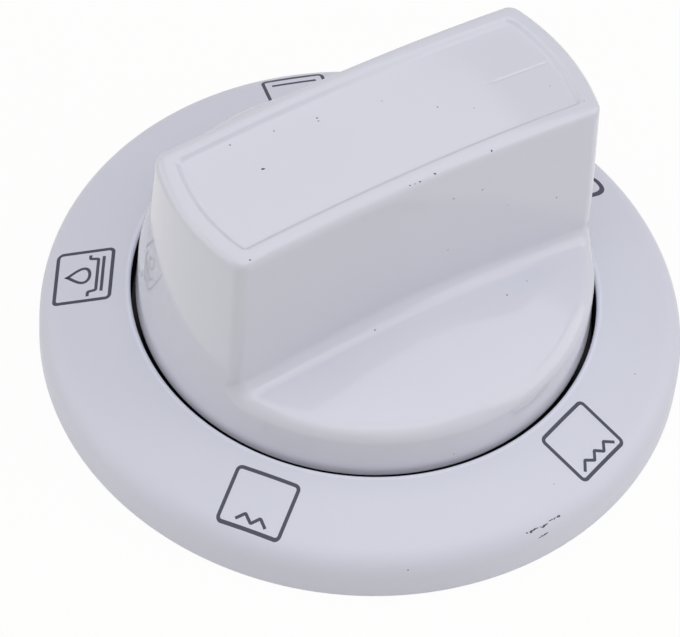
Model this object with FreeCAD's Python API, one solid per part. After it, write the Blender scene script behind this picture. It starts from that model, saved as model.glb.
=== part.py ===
import FreeCAD, Part
import math
import os

# Oven control knob: a white cap with a bar grip on a black core, turning in a white dial ring.
# Millimetres. The origin is the centre of the ring's back, +Z points out of the panel, and the
# pointer end of the grip looks along +Y.

# Dial ring
ring_outer_r = 33.0
ring_hole_r = 24.2
ring_rim_h = 7.7
ring_slope_deg = 18.5
ring_shoulder_r = 3.2
ring_rim_chamfer = 0.4
ring_skin = 2.0
collar_wall = 1.6
lip_reach = 3.2
lip_thickness = 1.4
lip_h = 2.3
ring_rib_count = 10
ring_rib_thickness = 1.2
screw_boss_r = 2.2
screw_bore_r = 1.1
screw_bore_depth = 4.2

# Play between the turning knob and the ring
axial_play = 0.3
radial_play = 0.3
drum_gap = 0.9

# Cap: drum and bar grip
cap_edge_h = 7.1
drum_edge_h = 14.0
drum_top_fall_deg = 5.7
drum_edge_round_r = 1.5
grip_top_h = 33.0
grip_top_arch_r = 195.0
grip_top_width = 16.2
grip_foot_width = 17.7
grip_foot_round_r = 1.5
grip_foot_spans = 8
grip_end_draft_deg = 2.3
grip_end_setback = 0.05
grip_corner_round_r = 1.0
grip_top_chamfer = 0.4
cap_wall = 2.0
recess_depth = 0.4
recess_slope_run = 0.5
recess_side_rim = 1.7
recess_end_rim = 2.05
pointer_length = 6.2
pointer_width = 0.35
pointer_depth = 0.15
pointer_end_gap = 0.4
grip_rib_thickness = 1.4
grip_rib_spacing = 18.0

# Core
band_inset = 0.4
band_wall = 1.4
web_thickness = 1.5
spigot_wall = 1.7
spigot_h = 0.5
hook_catch = 0.8
hook_land = 0.5
finger_count = 3
finger_width_deg = 40.0
finger_slot = 1.2
plug_height = 1.2
plug_wall = 1.5
plug_clearance = 0.05
key_top_h = 19.0
key_half_length = 17.0
key_wall = 1.4
key_clearance = 0.1
boss_r = 5.4
boss_h = 0.8
boss_top_h = 19.0
boss_bite = 0.6
boss_rib_thickness = 1.2
boss_rib_h = 2.4
boss_rib_spread_deg = 15.0
shaft_r = 3.0
shaft_flat = 1.5
shaft_clearance = 0.05
lead_in_clearance = 0.5
lead_in_length = 4.0
socket_top_h = 17.0
tongue_width = 4.0
tongue_slot = 0.8
tongue_top_h = 13.0

# Spring ring round the boss
spring_thickness = 0.5
spring_height = 2.8
spring_h = 1.6
spring_gap_deg = 60.0
spring_clearance = 0.6

# Heights and radii that follow from the sizes above
slope = math.radians(ring_slope_deg)
lip_r = ring_hole_r - lip_reach
lip_top_h = lip_h + lip_thickness
collar_r = ring_hole_r + collar_wall
skirt_inner_r = ring_outer_r - ring_skin
screw_circle_r = (collar_r + skirt_inner_r) / 2
drum_r = ring_hole_r - drum_gap
cap_inner_r = drum_r - cap_wall
end_draft = math.radians(grip_end_draft_deg)
drum_top_fall = math.radians(drum_top_fall_deg)
arch_centre_h = grip_top_h - grip_top_arch_r
arch_reach = 2 * drum_r
band_r = drum_r - band_inset
web_h = cap_edge_h - web_thickness
band_h = lip_top_h + axial_play
spigot_r = lip_r - radial_play
spigot_inner_r = spigot_r - spigot_wall
hook_r = lip_r + hook_catch
hook_top_h = lip_h - axial_play
socket_r = shaft_r + shaft_clearance
socket_flat = shaft_flat + shaft_clearance
lead_in_r = shaft_r + lead_in_clearance
lead_in_h = boss_h + lead_in_length
recess_floor_h = grip_top_h - recess_depth
spring_top_h = spring_h + spring_height
full_turn = 360.0
pointer_deg = 90.0
flat_deg = -90.0
chord_deg = 24.0


def vector(x, y, z):
    """Short form of a point or direction."""
    return FreeCAD.Vector(x, y, z)


UP = vector(0, 0, 1)
AXIS = vector(0, 0, 0)
ACROSS = vector(1, 0, 0)


def rounded_corner(before, here, after, radius):
    """Start, middle, end and centre of the tangent arc that rounds a corner."""
    back = (before - here).normalize()
    ahead = (after - here).normalize()
    half_angle = back.getAngle(ahead) / 2
    reach = radius / math.tan(half_angle)
    centre = here + (back + ahead).normalize() * (radius / math.sin(half_angle))
    middle = centre + (here - centre).normalize() * radius
    return here + back * reach, middle, here + ahead * reach, centre


def outline(corners, place):
    """Face inside a closed outline of (u, v) or (u, v, radius) corners, rounded by tangent arcs."""
    flat = [vector(corner[0], corner[1], 0) for corner in corners]
    joints = []
    for index, corner in enumerate(corners):
        here = flat[index]
        if len(corner) == 2:
            joints.append((here, None, here))
            continue
        after = flat[(index + 1) % len(flat)]
        start, middle, end, _ = rounded_corner(flat[index - 1], here, after, corner[2])
        joints.append((start, middle, end))
    edges = []
    for index, (start, middle, end) in enumerate(joints):
        if middle is not None:
            edges.append(Part.Arc(place(start), place(middle), place(end)).toShape())
        following = joints[(index + 1) % len(joints)][0]
        edges.append(Part.LineSegment(place(end), place(following)).toShape())
    return Part.Face(Part.Wire(edges))


def chords(before, here, radius, after):
    """Points of a rounded corner of a turned part, on chords of a few degrees each."""
    start, _, end, centre = rounded_corner(vector(*before, 0), vector(*here, 0), vector(*after, 0), radius)
    sweep = (start - centre).getAngle(end - centre)
    steps = math.ceil(math.degrees(sweep) / chord_deg)
    points = []
    for index in range(steps + 1):
        share = index / steps
        arm = (start - centre) * math.sin((1 - share) * sweep) + (end - centre) * math.sin(share * sweep)
        points.append((centre.x + arm.x / math.sin(sweep), centre.y + arm.y / math.sin(sweep)))
    return points


def turned(corners):
    """Solid of revolution about +Z from an outline of (radius, height) corners."""
    return outline(corners, lambda p: vector(p.x, 0, p.y)).revolve(AXIS, UP, full_turn)


def run_along_y(corners, half_length):
    """Bar along Y from an outline of (x, height) corners."""
    face = outline(corners, lambda p: vector(p.x, -half_length, p.y))
    return face.extrude(vector(0, 2 * half_length, 0))


def arch_deg(place):
    """Angle on the arch of the grip's top that belongs to a place along Y."""
    return math.degrees(math.asin(place / grip_top_arch_r))


def run_over_arch(corners, start, end):
    """Bar along the arch of the grip's top, from an outline of (x, height) corners in its middle."""
    hub = vector(0, 0, arch_centre_h)
    face = outline(corners, lambda p: vector(p.x, 0, p.y))
    face.rotate(hub, ACROSS, -arch_deg(end))
    return face.revolve(hub, ACROSS, arch_deg(end) - arch_deg(start))


def post(radius, low, high, x=0.0, y=0.0):
    """Round post standing on a height."""
    return Part.makeCylinder(radius, high - low, vector(x, y, low), UP)


def pipe(outer, inner, low, high):
    """Round tube about +Z."""
    return post(outer, low, high).cut(post(inner, low, high))


def spoke(angle_deg, inner, outer, thickness, low, high):
    """Upright radial plate between two radii."""
    plate = Part.makeBox(outer - inner, thickness, high - low, vector(inner, -thickness / 2, low))
    plate.rotate(AXIS, UP, angle_deg)
    return plate


def sector(start_deg, sweep_deg, inner, outer, low, high):
    """Piece of a tube between two angles."""
    face = outline([(inner, low), (outer, low), (outer, high), (inner, high)], lambda p: vector(p.x, 0, p.y))
    face.rotate(AXIS, UP, start_deg)
    return face.revolve(AXIS, UP, sweep_deg)


def single(shape):
    """The one solid of a boolean result."""
    return shape.removeSplitter().Solids[0]


def ring_face_h(radius):
    """Height of the dial face's straight slope at a radius."""
    return ring_rim_h - (radius - ring_hole_r) * math.tan(slope)


def ring_under_h(radius):
    """Height of the dial face's underside at a radius."""
    return ring_face_h(radius) - ring_skin / math.cos(slope)


def make_dial_ring():
    """Sloped dial face with a skirt, a collar with an inward lip, ribs and two screw bosses."""
    rim_start = (ring_hole_r + ring_rim_chamfer, ring_face_h(ring_hole_r + ring_rim_chamfer))
    shoulder = chords(
        (ring_outer_r, 0),
        (ring_outer_r, ring_face_h(ring_outer_r)),
        ring_shoulder_r,
        rim_start,
    )
    shell = turned([(ring_outer_r, 0)] + shoulder + [
        rim_start,
        (ring_hole_r, ring_rim_h - ring_rim_chamfer),
        (ring_hole_r, lip_top_h),
        (lip_r, lip_top_h),
        (lip_r, lip_h),
        (collar_r, lip_h),
        (collar_r, ring_under_h(collar_r)),
        (skirt_inner_r, ring_under_h(skirt_inner_r)),
        (skirt_inner_r, 0),
    ])
    bite = ring_skin / 2
    inner = collar_r - collar_wall / 2
    outer = skirt_inner_r + bite
    hollow = turned([
        (inner, 0),
        (outer, 0),
        (outer, ring_under_h(outer) + bite),
        (inner, ring_under_h(inner) + bite),
    ])
    step = full_turn / ring_rib_count
    ribs = [
        spoke((index + 0.5) * step, inner, outer, ring_rib_thickness, lip_h, ring_rim_h)
        for index in range(ring_rib_count)
    ]
    bosses = [post(screw_boss_r, 0, ring_rim_h, side * screw_circle_r) for side in (-1, 1)]
    bores = [post(screw_bore_r, 0, screw_bore_depth, side * screw_circle_r) for side in (-1, 1)]
    ring = shell.multiFuse([filling.common(hollow) for filling in ribs + bosses])
    for bore in bores:
        ring = ring.cut(bore)
    return single(ring)


def end_r(height):
    """Radius of the drum wall and of the grip's drafted ends at a height."""
    return drum_r - (height - cap_edge_h) * math.tan(end_draft)


def drum_face_h(radius):
    """Height of the drum's top, which falls gently towards its edge, at a radius."""
    return drum_edge_h + (end_r(drum_edge_h) - radius) * math.tan(drum_top_fall)


def grip_half_width(height):
    """Half width of the grip's drafted sides at a height."""
    foot_h = drum_face_h(grip_foot_width / 2)
    rise = (height - foot_h) / (grip_top_h - foot_h)
    return (grip_foot_width + (grip_top_width - grip_foot_width) * rise) / 2


def grip_top_at(place):
    """Height of the grip's arched top at a place along Y."""
    return arch_centre_h + math.sqrt(grip_top_arch_r ** 2 - place ** 2)


def grip_bar(low, high, inset, half_length):
    """Bar with the grip's drafted sides, its walls inset by a thickness."""
    return run_along_y([
        (-grip_half_width(low) + inset, low),
        (grip_half_width(low) - inset, low),
        (grip_half_width(high) - inset, high),
        (-grip_half_width(high) + inset, high),
    ], half_length)


def grip_frame(height):
    """Plan of the grip at a height: straight sides, corners on chords, tangents that meet past each end."""
    centre_x = grip_half_width(height) - grip_corner_round_r
    centre_y = math.sqrt((end_r(height) - grip_corner_round_r) ** 2 - centre_x ** 2)
    base_x = grip_foot_width / 2 - grip_corner_round_r
    base_r = end_r(drum_face_h(grip_foot_width / 2)) - grip_corner_round_r
    lean = math.acos(base_x / base_r)
    steps = math.ceil(math.degrees(lean) / chord_deg)
    quarter = []
    for index in range(steps + 1):
        turn = lean * index / steps
        x = centre_x + grip_corner_round_r * math.cos(turn)
        quarter.append((x, centre_y + grip_corner_round_r * math.sin(turn)))
    reach = centre_x * math.cos(lean) + centre_y * math.sin(lean) + grip_corner_round_r
    front = quarter + [(0, reach / math.sin(lean))] + [(-x, y) for x, y in reversed(quarter)]
    plan = front + [(-x, -y) for x, y in front]
    return Part.makePolygon([vector(x, y, height) for x, y in plan + plan[:1]])


def make_grip():
    """Grip that rises from the drum's rounded edge: drafted sides and ends, arched top, chamfered edge."""
    low = drum_edge_h - drum_edge_round_r
    high = grip_top_h + grip_top_chamfer
    bar = Part.makeLoft([grip_frame(low), grip_frame(high)], True, True)
    shoulder = grip_top_at(end_r(grip_top_h)) - grip_top_chamfer
    shoulder_r = end_r(shoulder) - grip_end_setback
    ends = turned([
        (0, low),
        (end_r(low) - grip_end_setback, low),
        (shoulder_r, shoulder),
        (shoulder_r - (high - shoulder), high),
        (0, high),
    ])
    half = grip_top_width / 2
    ledge = grip_top_h - 2 * grip_top_chamfer
    top = run_over_arch([
        (-drum_r, low),
        (drum_r, low),
        (drum_r, ledge),
        (half + grip_top_chamfer, ledge),
        (half - grip_top_chamfer, grip_top_h),
        (-half + grip_top_chamfer, grip_top_h),
        (-half - grip_top_chamfer, ledge),
        (-drum_r, ledge),
    ], -arch_reach, arch_reach)
    return bar.common(ends).common(top)


def foot_section(place, side, low):
    """Section across one hollow curve at the grip's foot, at a place along Y."""
    foot_w = grip_half_width(drum_face_h(math.hypot(grip_foot_width / 2, place)))
    foot_h = drum_face_h(math.hypot(foot_w, place))
    rise = foot_h + 2 * grip_foot_round_r
    spread = foot_w + 2 * grip_foot_round_r
    curve = chords(
        (grip_half_width(rise), rise),
        (foot_w, foot_h),
        grip_foot_round_r,
        (spread, drum_face_h(math.hypot(spread, place))),
    )
    inner = foot_w - cap_wall
    section = curve + [(curve[-1][0], low), (inner, low), (inner, curve[0][1])]
    return Part.makePolygon([vector(side * x, place, height) for x, height in section + section[:1]])


def make_grip_foot():
    """Hollow curves along both sides of the grip's foot, tapering out on the drum's top."""
    low = drum_edge_h - drum_edge_round_r
    flat_r = end_r(drum_edge_h) - drum_edge_round_r
    flat_h = drum_face_h(flat_r)
    places = [drum_r * (2 * index / grip_foot_spans - 1) for index in range(grip_foot_spans + 1)]
    curves = [
        Part.makeLoft([foot_section(place, side, low) for place in places], True, True)
        for side in (-1, 1)
    ]
    taper = turned([(0, low), (flat_r, low), (flat_r, flat_h), (0, flat_h + flat_r)])
    return [curve.common(taper) for curve in curves]


def make_recess():
    """Shallow tray in the grip's top: sloping walls, and ends that follow the grip's ends."""
    tilt = recess_slope_run / recess_depth
    low_w = grip_top_width / 2 - recess_side_rim - recess_slope_run
    over = recess_depth * 2
    high_w = low_w + over * tilt
    high = recess_floor_h + over
    bar = run_over_arch([
        (-low_w, recess_floor_h),
        (low_w, recess_floor_h),
        (high_w, high),
        (-high_w, high),
    ], -arch_reach, arch_reach)
    low_r = end_r(grip_top_h) - recess_end_rim - recess_slope_run
    end_floor_h = grip_top_at(low_r) - recess_depth
    base_h = end_floor_h - recess_depth
    disc = turned([
        (0, base_h),
        (low_r - recess_depth * tilt, base_h),
        (low_r + (high - end_floor_h) * tilt, high),
        (0, high),
    ])
    line_end = low_r - pointer_end_gap
    half_line = pointer_width / 2
    line = run_over_arch([
        (-half_line, recess_floor_h - pointer_depth),
        (half_line, recess_floor_h - pointer_depth),
        (half_line, grip_top_h),
        (-half_line, grip_top_h),
    ], line_end - pointer_length, line_end)
    return bar.common(disc).fuse(line)


def make_knob_cap():
    """Hollow drum and bar grip in one moulding, with a tray and a pointer line in the grip's top."""
    middle_h = drum_face_h(0)
    edge = chords((drum_r, cap_edge_h), (end_r(drum_edge_h), drum_edge_h), drum_edge_round_r, (0, middle_h))
    drum = turned([(0, cap_edge_h), (drum_r, cap_edge_h)] + edge + [(0, middle_h)])
    cap = drum.multiFuse([make_grip()] + make_grip_foot())
    roof_h = recess_floor_h - cap_wall
    drum_space = post(cap_inner_r, cap_edge_h, drum_face_h(cap_inner_r) - cap_wall)
    inner_wall = turned([
        (0, cap_edge_h),
        (cap_inner_r, cap_edge_h),
        (end_r(roof_h) - cap_wall, roof_h),
        (0, roof_h),
    ])
    roof = run_over_arch([
        (-drum_r, cap_edge_h),
        (drum_r, cap_edge_h),
        (drum_r, roof_h),
        (-drum_r, roof_h),
    ], -arch_reach, arch_reach)
    grip_space = grip_bar(cap_edge_h, roof_h, cap_wall, drum_r).common(inner_wall).common(roof)
    rib_low = key_top_h + axial_play
    for side in (-1, 1):
        rib = Part.makeBox(
            2 * drum_r,
            grip_rib_thickness,
            roof_h - rib_low,
            vector(-drum_r, side * grip_rib_spacing / 2 - grip_rib_thickness / 2, rib_low),
        )
        grip_space = grip_space.cut(rib)
    cap = cap.cut(drum_space.fuse(grip_space))
    return single(cap.cut(make_recess()))


def make_hook():
    """Ring of the snap hooks' section: a catching ledge above and a sloping nose below."""
    return turned([
        (spigot_inner_r, spigot_h),
        (spigot_r, spigot_h),
        (hook_r, hook_top_h - hook_land),
        (hook_r, hook_top_h),
        (spigot_inner_r, hook_top_h),
    ])


def make_fingers():
    """Spigot wall with flexible fingers between slots, each finger ending in a snap hook."""
    wall = pipe(spigot_r, spigot_inner_r, spigot_h, web_h)
    step = full_turn / finger_count
    slot_deg = math.degrees(finger_slot / spigot_r)
    slot_top_h = web_h - web_thickness
    hook_ring = make_hook()
    parts = [wall]
    slots = []
    for index in range(finger_count):
        start = flat_deg + index * step - finger_width_deg / 2
        span = sector(start, finger_width_deg, spigot_inner_r, hook_r, spigot_h, hook_top_h)
        parts.append(hook_ring.common(span))
        for edge in (start - slot_deg, start + finger_width_deg):
            slots.append(sector(edge, slot_deg, spigot_inner_r - finger_slot, hook_r, spigot_h, slot_top_h))
    fingers = parts[0].multiFuse(parts[1:])
    for slot in slots:
        fingers = fingers.cut(slot)
    return fingers


def make_key():
    """Hollow key on the core that fills the foot of the grip, drives the cap and holds the boss."""
    outer = grip_bar(cap_edge_h, key_top_h, cap_wall + key_clearance, key_half_length)
    half = boss_r - boss_bite
    reach = key_half_length - key_wall
    inner = Part.makeBox(2 * half, 2 * reach, key_top_h - cap_edge_h, vector(-half, -reach, cap_edge_h))
    return outer.cut(inner)


def make_socket():
    """Space for the shaft: round at the mouth, then D-shaped, with a sprung tongue at the flat."""
    mouth = post(lead_in_r, boss_h, lead_in_h)
    deep = post(socket_r, boss_h, socket_top_h)
    flat = Part.makeBox(
        2 * boss_r,
        boss_r,
        socket_top_h - lead_in_h,
        vector(-boss_r, -socket_flat - boss_r, lead_in_h),
    )
    slots = [
        Part.makeBox(
            tongue_slot,
            boss_r,
            tongue_top_h - boss_h,
            vector(side * (tongue_width + tongue_slot) / 2 - tongue_slot / 2, -boss_r, boss_h),
        )
        for side in (-1, 1)
    ]
    window_width = tongue_width + 2 * tongue_slot
    window = Part.makeBox(
        window_width,
        boss_r + tongue_slot,
        web_thickness,
        vector(-window_width / 2, -boss_r - tongue_slot, web_h),
    )
    window = window.cut(post(boss_r, web_h, cap_edge_h))
    return deep.cut(flat).multiFuse([mouth, window] + slots)


def make_knob_core():
    """Core under the cap: web, band in the ring's hole, snap fingers, drive key and shaft boss."""
    web = post(band_r, web_h, cap_edge_h)
    band = pipe(band_r, band_r - band_wall, band_h, web_h)
    plug_r = cap_inner_r - plug_clearance
    plug = pipe(plug_r, plug_r - plug_wall, cap_edge_h, cap_edge_h + plug_height)
    boss = post(boss_r, boss_h, boss_top_h)
    step = full_turn / finger_count
    spring_room = post(boss_r + spring_clearance, 0, spring_top_h + spring_clearance / 2)
    ribs = []
    for index in range(finger_count):
        for side in (-1, 1):
            angle = pointer_deg + index * step + side * boss_rib_spread_deg
            rib = spoke(angle, 0, spigot_inner_r + spigot_wall / 2, boss_rib_thickness, boss_rib_h, web_h)
            ribs.append(rib.cut(spring_room))
    core = web.multiFuse([band, plug, make_fingers(), make_key(), boss] + ribs)
    groove = pipe(boss_r, boss_r - spring_thickness, spring_h, spring_top_h)
    return single(core.cut(groove).cut(make_socket()))


def make_shaft_spring():
    """Open spring ring in the boss's groove, pressing the tongue on the shaft's flat."""
    inner = boss_r - spring_thickness
    start = pointer_deg + spring_gap_deg / 2
    return sector(start, full_turn - spring_gap_deg, inner, boss_r, spring_h, spring_top_h)


NODES = {
    "dial_ring": make_dial_ring,
    "knob_cap": make_knob_cap,
    "knob_core": make_knob_core,
    "shaft_spring": make_shaft_spring,
}

os.makedirs("parts", exist_ok=True)
for name, make in NODES.items():
    shape = make()
    print(name, shape.ShapeType, shape.isValid(), round(shape.Volume, 1))
    shape.exportStep("parts/" + name + ".step")
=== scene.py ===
"""Looks of an oven control knob: a glossy cap with a bar grip that turns in a satin dial ring.

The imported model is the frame. The cap and the ring are replaced by smooth surfaces of the same
form, the black core and the spring ring keep their solids and get their finishes, and the dial
marks, the dust and the scuff lie on the surfaces that carry them.
"""
import math

import bmesh
import bpy
import numpy as np
from bpy.props import FloatProperty, FloatVectorProperty, IntProperty, PointerProperty
from bpy.types import Operator, Panel, PropertyGroup
from mathutils import Matrix, Vector
from mathutils.bvhtree import BVHTree


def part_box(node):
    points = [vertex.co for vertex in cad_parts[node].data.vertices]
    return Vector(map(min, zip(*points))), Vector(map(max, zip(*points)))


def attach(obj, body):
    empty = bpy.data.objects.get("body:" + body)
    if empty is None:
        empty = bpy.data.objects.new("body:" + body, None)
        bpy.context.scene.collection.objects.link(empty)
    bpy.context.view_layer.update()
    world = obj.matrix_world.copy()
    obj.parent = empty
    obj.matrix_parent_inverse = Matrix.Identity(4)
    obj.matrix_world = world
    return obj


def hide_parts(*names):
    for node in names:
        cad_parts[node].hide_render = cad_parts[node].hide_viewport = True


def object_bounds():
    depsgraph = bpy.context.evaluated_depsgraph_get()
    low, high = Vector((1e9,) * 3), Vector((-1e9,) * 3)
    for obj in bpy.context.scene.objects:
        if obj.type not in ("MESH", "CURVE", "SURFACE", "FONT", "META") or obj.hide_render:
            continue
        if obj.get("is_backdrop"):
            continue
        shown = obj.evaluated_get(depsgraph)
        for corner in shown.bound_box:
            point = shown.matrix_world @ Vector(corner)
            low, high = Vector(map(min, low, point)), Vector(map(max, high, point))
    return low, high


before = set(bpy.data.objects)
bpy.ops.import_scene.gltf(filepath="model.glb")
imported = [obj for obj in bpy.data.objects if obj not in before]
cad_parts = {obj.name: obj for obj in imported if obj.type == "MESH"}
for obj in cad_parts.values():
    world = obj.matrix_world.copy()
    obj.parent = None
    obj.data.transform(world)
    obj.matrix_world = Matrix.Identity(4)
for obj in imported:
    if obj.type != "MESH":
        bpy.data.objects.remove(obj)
CAD_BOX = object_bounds()
RING_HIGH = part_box("dial_ring")[1]
CAP_LOW, CAP_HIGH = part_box("knob_cap")

bl_info = {
    "name": "Oven control knob",
    "version": (1, 0, 0),
    "blender": (4, 5, 0),
    "location": "3D View > Sidebar > Knob",
    "description": "Builds the looks of an oven control knob round its packed solids",
    "category": "Object",
}

MM = 0.001
TAU = 2 * math.pi
PHOTO_WIDTH = 680
PHOTO_HEIGHT = 637
SENSOR_WIDTH = 36.0
MERGE_DISTANCE = 0.5e-6  # points closer than this become one
SLIVER_WIDTH = 0.2e-6  # faces thinner than this go


class DialRingSettings(PropertyGroup):
    """Sizes of the dial ring."""

    outer_radius: FloatProperty(
        name="Outer radius", description="Radius of the skirt", default=RING_HIGH[0], unit="LENGTH")
    hole_radius: FloatProperty(
        name="Hole radius", description="Radius of the hole round the drum",
        default=0.0238, unit="LENGTH")
    rim_height: FloatProperty(
        name="Rim height", description="Height of the face at the hole",
        default=0.00783, unit="LENGTH")
    slope: FloatProperty(
        name="Slope", description="Fall of the face towards the skirt",
        default=math.radians(18.5), subtype="ANGLE")
    shoulder_radius: FloatProperty(
        name="Shoulder rounding", description="Rounding between face and skirt",
        default=0.0032, unit="LENGTH")
    edge_rounding: FloatProperty(
        name="Edge rounding", description="Rounding of the other edges",
        default=0.00035, unit="LENGTH")
    skin: FloatProperty(
        name="Skin", description="Thickness of face and skirt", default=0.002, unit="LENGTH")
    collar_wall: FloatProperty(
        name="Collar wall", description="Thickness of the collar at the hole",
        default=0.002, unit="LENGTH")
    lip_reach: FloatProperty(
        name="Lip reach", description="How far the collar's lip reaches inwards",
        default=0.0028, unit="LENGTH")
    lip_height: FloatProperty(
        name="Lip height", description="Height of the lip's lower face",
        default=0.0023, unit="LENGTH")
    lip_thickness: FloatProperty(
        name="Lip thickness", description="Thickness of the lip", default=0.0014, unit="LENGTH")
    rib_count: IntProperty(name="Ribs", description="Ribs under the face", default=10, min=3)
    rib_thickness: FloatProperty(
        name="Rib thickness", description="Thickness of a rib", default=0.0012, unit="LENGTH")
    boss_radius: FloatProperty(
        name="Screw boss radius", description="Radius of a screw boss",
        default=0.0022, unit="LENGTH")
    bore_radius: FloatProperty(
        name="Screw hole radius", description="Radius of a screw hole",
        default=0.0011, unit="LENGTH")
    bore_depth: FloatProperty(
        name="Screw hole depth", description="Depth of a screw hole", default=0.0042, unit="LENGTH")
    colour: FloatVectorProperty(
        name="Ring colour", description="White of the ring", default=(0.692, 0.702, 0.80),
        subtype="COLOR", min=0.0, max=1.0)


class CapSettings(PropertyGroup):
    """Sizes of the cap with its drum and bar grip."""

    drum_radius: FloatProperty(
        name="Drum radius", description="Radius of the drum's lower edge",
        default=CAP_HIGH[0], unit="LENGTH")
    edge_height: FloatProperty(
        name="Edge height", description="Height of the drum's lower edge",
        default=CAP_LOW[2], unit="LENGTH")
    drum_edge: FloatProperty(
        name="Drum edge", description="Height of the drum's top at its wall",
        default=0.01325, unit="LENGTH")
    drum_fall: FloatProperty(
        name="Drum fall", description="Fall of the drum's top towards its wall",
        default=math.radians(8.1), subtype="ANGLE")
    drum_rounding: FloatProperty(
        name="Drum rounding", description="Rounding of the drum's edge",
        default=0.0015, unit="LENGTH")
    ceiling: FloatProperty(
        name="Ceiling", description="Height of the flat ceiling inside the drum",
        default=0.01217, unit="LENGTH")
    grip_top: FloatProperty(
        name="Grip top", description="Height of the grip's middle",
        default=CAP_HIGH[2], unit="LENGTH")
    arch_radius: FloatProperty(
        name="Arch radius", description="Radius of the grip's top, arched along its length",
        default=0.195, unit="LENGTH")
    top_width: FloatProperty(
        name="Grip top width", description="Width of the grip at its top",
        default=0.0162, unit="LENGTH")
    foot_width: FloatProperty(
        name="Grip foot width", description="Width of the grip at the drum",
        default=0.0177, unit="LENGTH")
    foot_rounding: FloatProperty(
        name="Foot rounding", description="Hollow rounding at the grip's foot",
        default=0.0015, unit="LENGTH")
    end_draft: FloatProperty(
        name="End draft", description="Lean of the drum wall and the grip's ends",
        default=math.radians(2.3), subtype="ANGLE")
    corner_rounding: FloatProperty(
        name="Corner rounding", description="Rounding of the upright corners",
        default=0.001, unit="LENGTH")
    top_rounding: FloatProperty(
        name="Top rounding", description="Rounding of the grip's top edge",
        default=0.0008, unit="LENGTH")
    wall: FloatProperty(
        name="Wall", description="Wall thickness of the moulding", default=0.002, unit="LENGTH")
    tray_depth: FloatProperty(
        name="Tray depth", description="Depth of the tray in the grip's top",
        default=0.0005, unit="LENGTH")
    tray_slope: FloatProperty(
        name="Tray slope", description="Width of the tray's sloping sides",
        default=0.0007, unit="LENGTH")
    tray_side_rim: FloatProperty(
        name="Tray side rim", description="Rim along the grip's sides",
        default=0.00145, unit="LENGTH")
    tray_end_rim: FloatProperty(
        name="Tray end rim", description="Rim at the grip's ends", default=0.00165, unit="LENGTH")
    pointer_length: FloatProperty(
        name="Pointer length", description="Length of the pointer line",
        default=0.0068, unit="LENGTH")
    pointer_width: FloatProperty(
        name="Pointer width", description="Width of the pointer line",
        default=0.00024, unit="LENGTH")
    pointer_depth: FloatProperty(
        name="Pointer depth", description="Depth of the pointer line",
        default=0.00011, unit="LENGTH")
    pointer_gap: FloatProperty(
        name="Pointer gap", description="Room between pointer line and tray end",
        default=0.0002, unit="LENGTH")
    rib_thickness: FloatProperty(
        name="Inner rib thickness", description="Thickness of the ribs in the grip",
        default=0.0014, unit="LENGTH")
    rib_spacing: FloatProperty(
        name="Inner rib spacing", description="Distance between the two ribs",
        default=0.018, unit="LENGTH")
    rib_low: FloatProperty(
        name="Inner rib height", description="Height of the ribs' lower edge",
        default=0.0193, unit="LENGTH")
    colour: FloatVectorProperty(
        name="Cap colour", description="White of the cap", default=(0.705, 0.712, 0.80),
        subtype="COLOR", min=0.0, max=1.0)


class MarkSettings(PropertyGroup):
    """Sizes of the printed dial marks."""

    centre_radius: FloatProperty(
        name="Mark radius", description="Distance of the marks from the axis",
        default=0.0284, unit="LENGTH")
    frame_width: FloatProperty(
        name="Frame width", description="Size of a frame along the ring",
        default=0.00646, unit="LENGTH")
    frame_depth: FloatProperty(
        name="Frame depth", description="Size of a frame across the ring",
        default=0.00562, unit="LENGTH")
    frame_corner: FloatProperty(
        name="Frame corner", description="Rounding of a frame's corners",
        default=0.00045, unit="LENGTH")
    stroke: FloatProperty(
        name="Stroke", description="Width of the lines", default=0.00039, unit="LENGTH")
    zero_stroke: FloatProperty(
        name="Zero stroke", description="Width of the line of the zero",
        default=0.00056, unit="LENGTH")
    zero_width: FloatProperty(
        name="Zero width", description="Width of the zero", default=0.0026, unit="LENGTH")
    zero_height: FloatProperty(
        name="Zero height", description="Height of the zero", default=0.0036, unit="LENGTH")
    ink: FloatProperty(
        name="Ink", description="Thickness of the print", default=0.000012, unit="LENGTH")
    turns: FloatVectorProperty(
        name="Turns", description="Turn of each mark from its even place, clockwise from the zero",
        size=5, default=tuple(math.radians(turn) for turn in (2.1, 1.28, 0.63, 1.55, 0.06)),
        subtype="NONE")
    shifts: FloatVectorProperty(
        name="Shifts", description="Reach of each mark past the mark radius, clockwise from the zero",
        size=5, default=(-0.00018, -0.00033, 0.00011, 0.0002, -0.0001), subtype="NONE")
    colour: FloatVectorProperty(
        name="Ink colour", description="Slate grey of the print", default=(0.035, 0.036, 0.066),
        subtype="COLOR", min=0.0, max=1.0)


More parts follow.
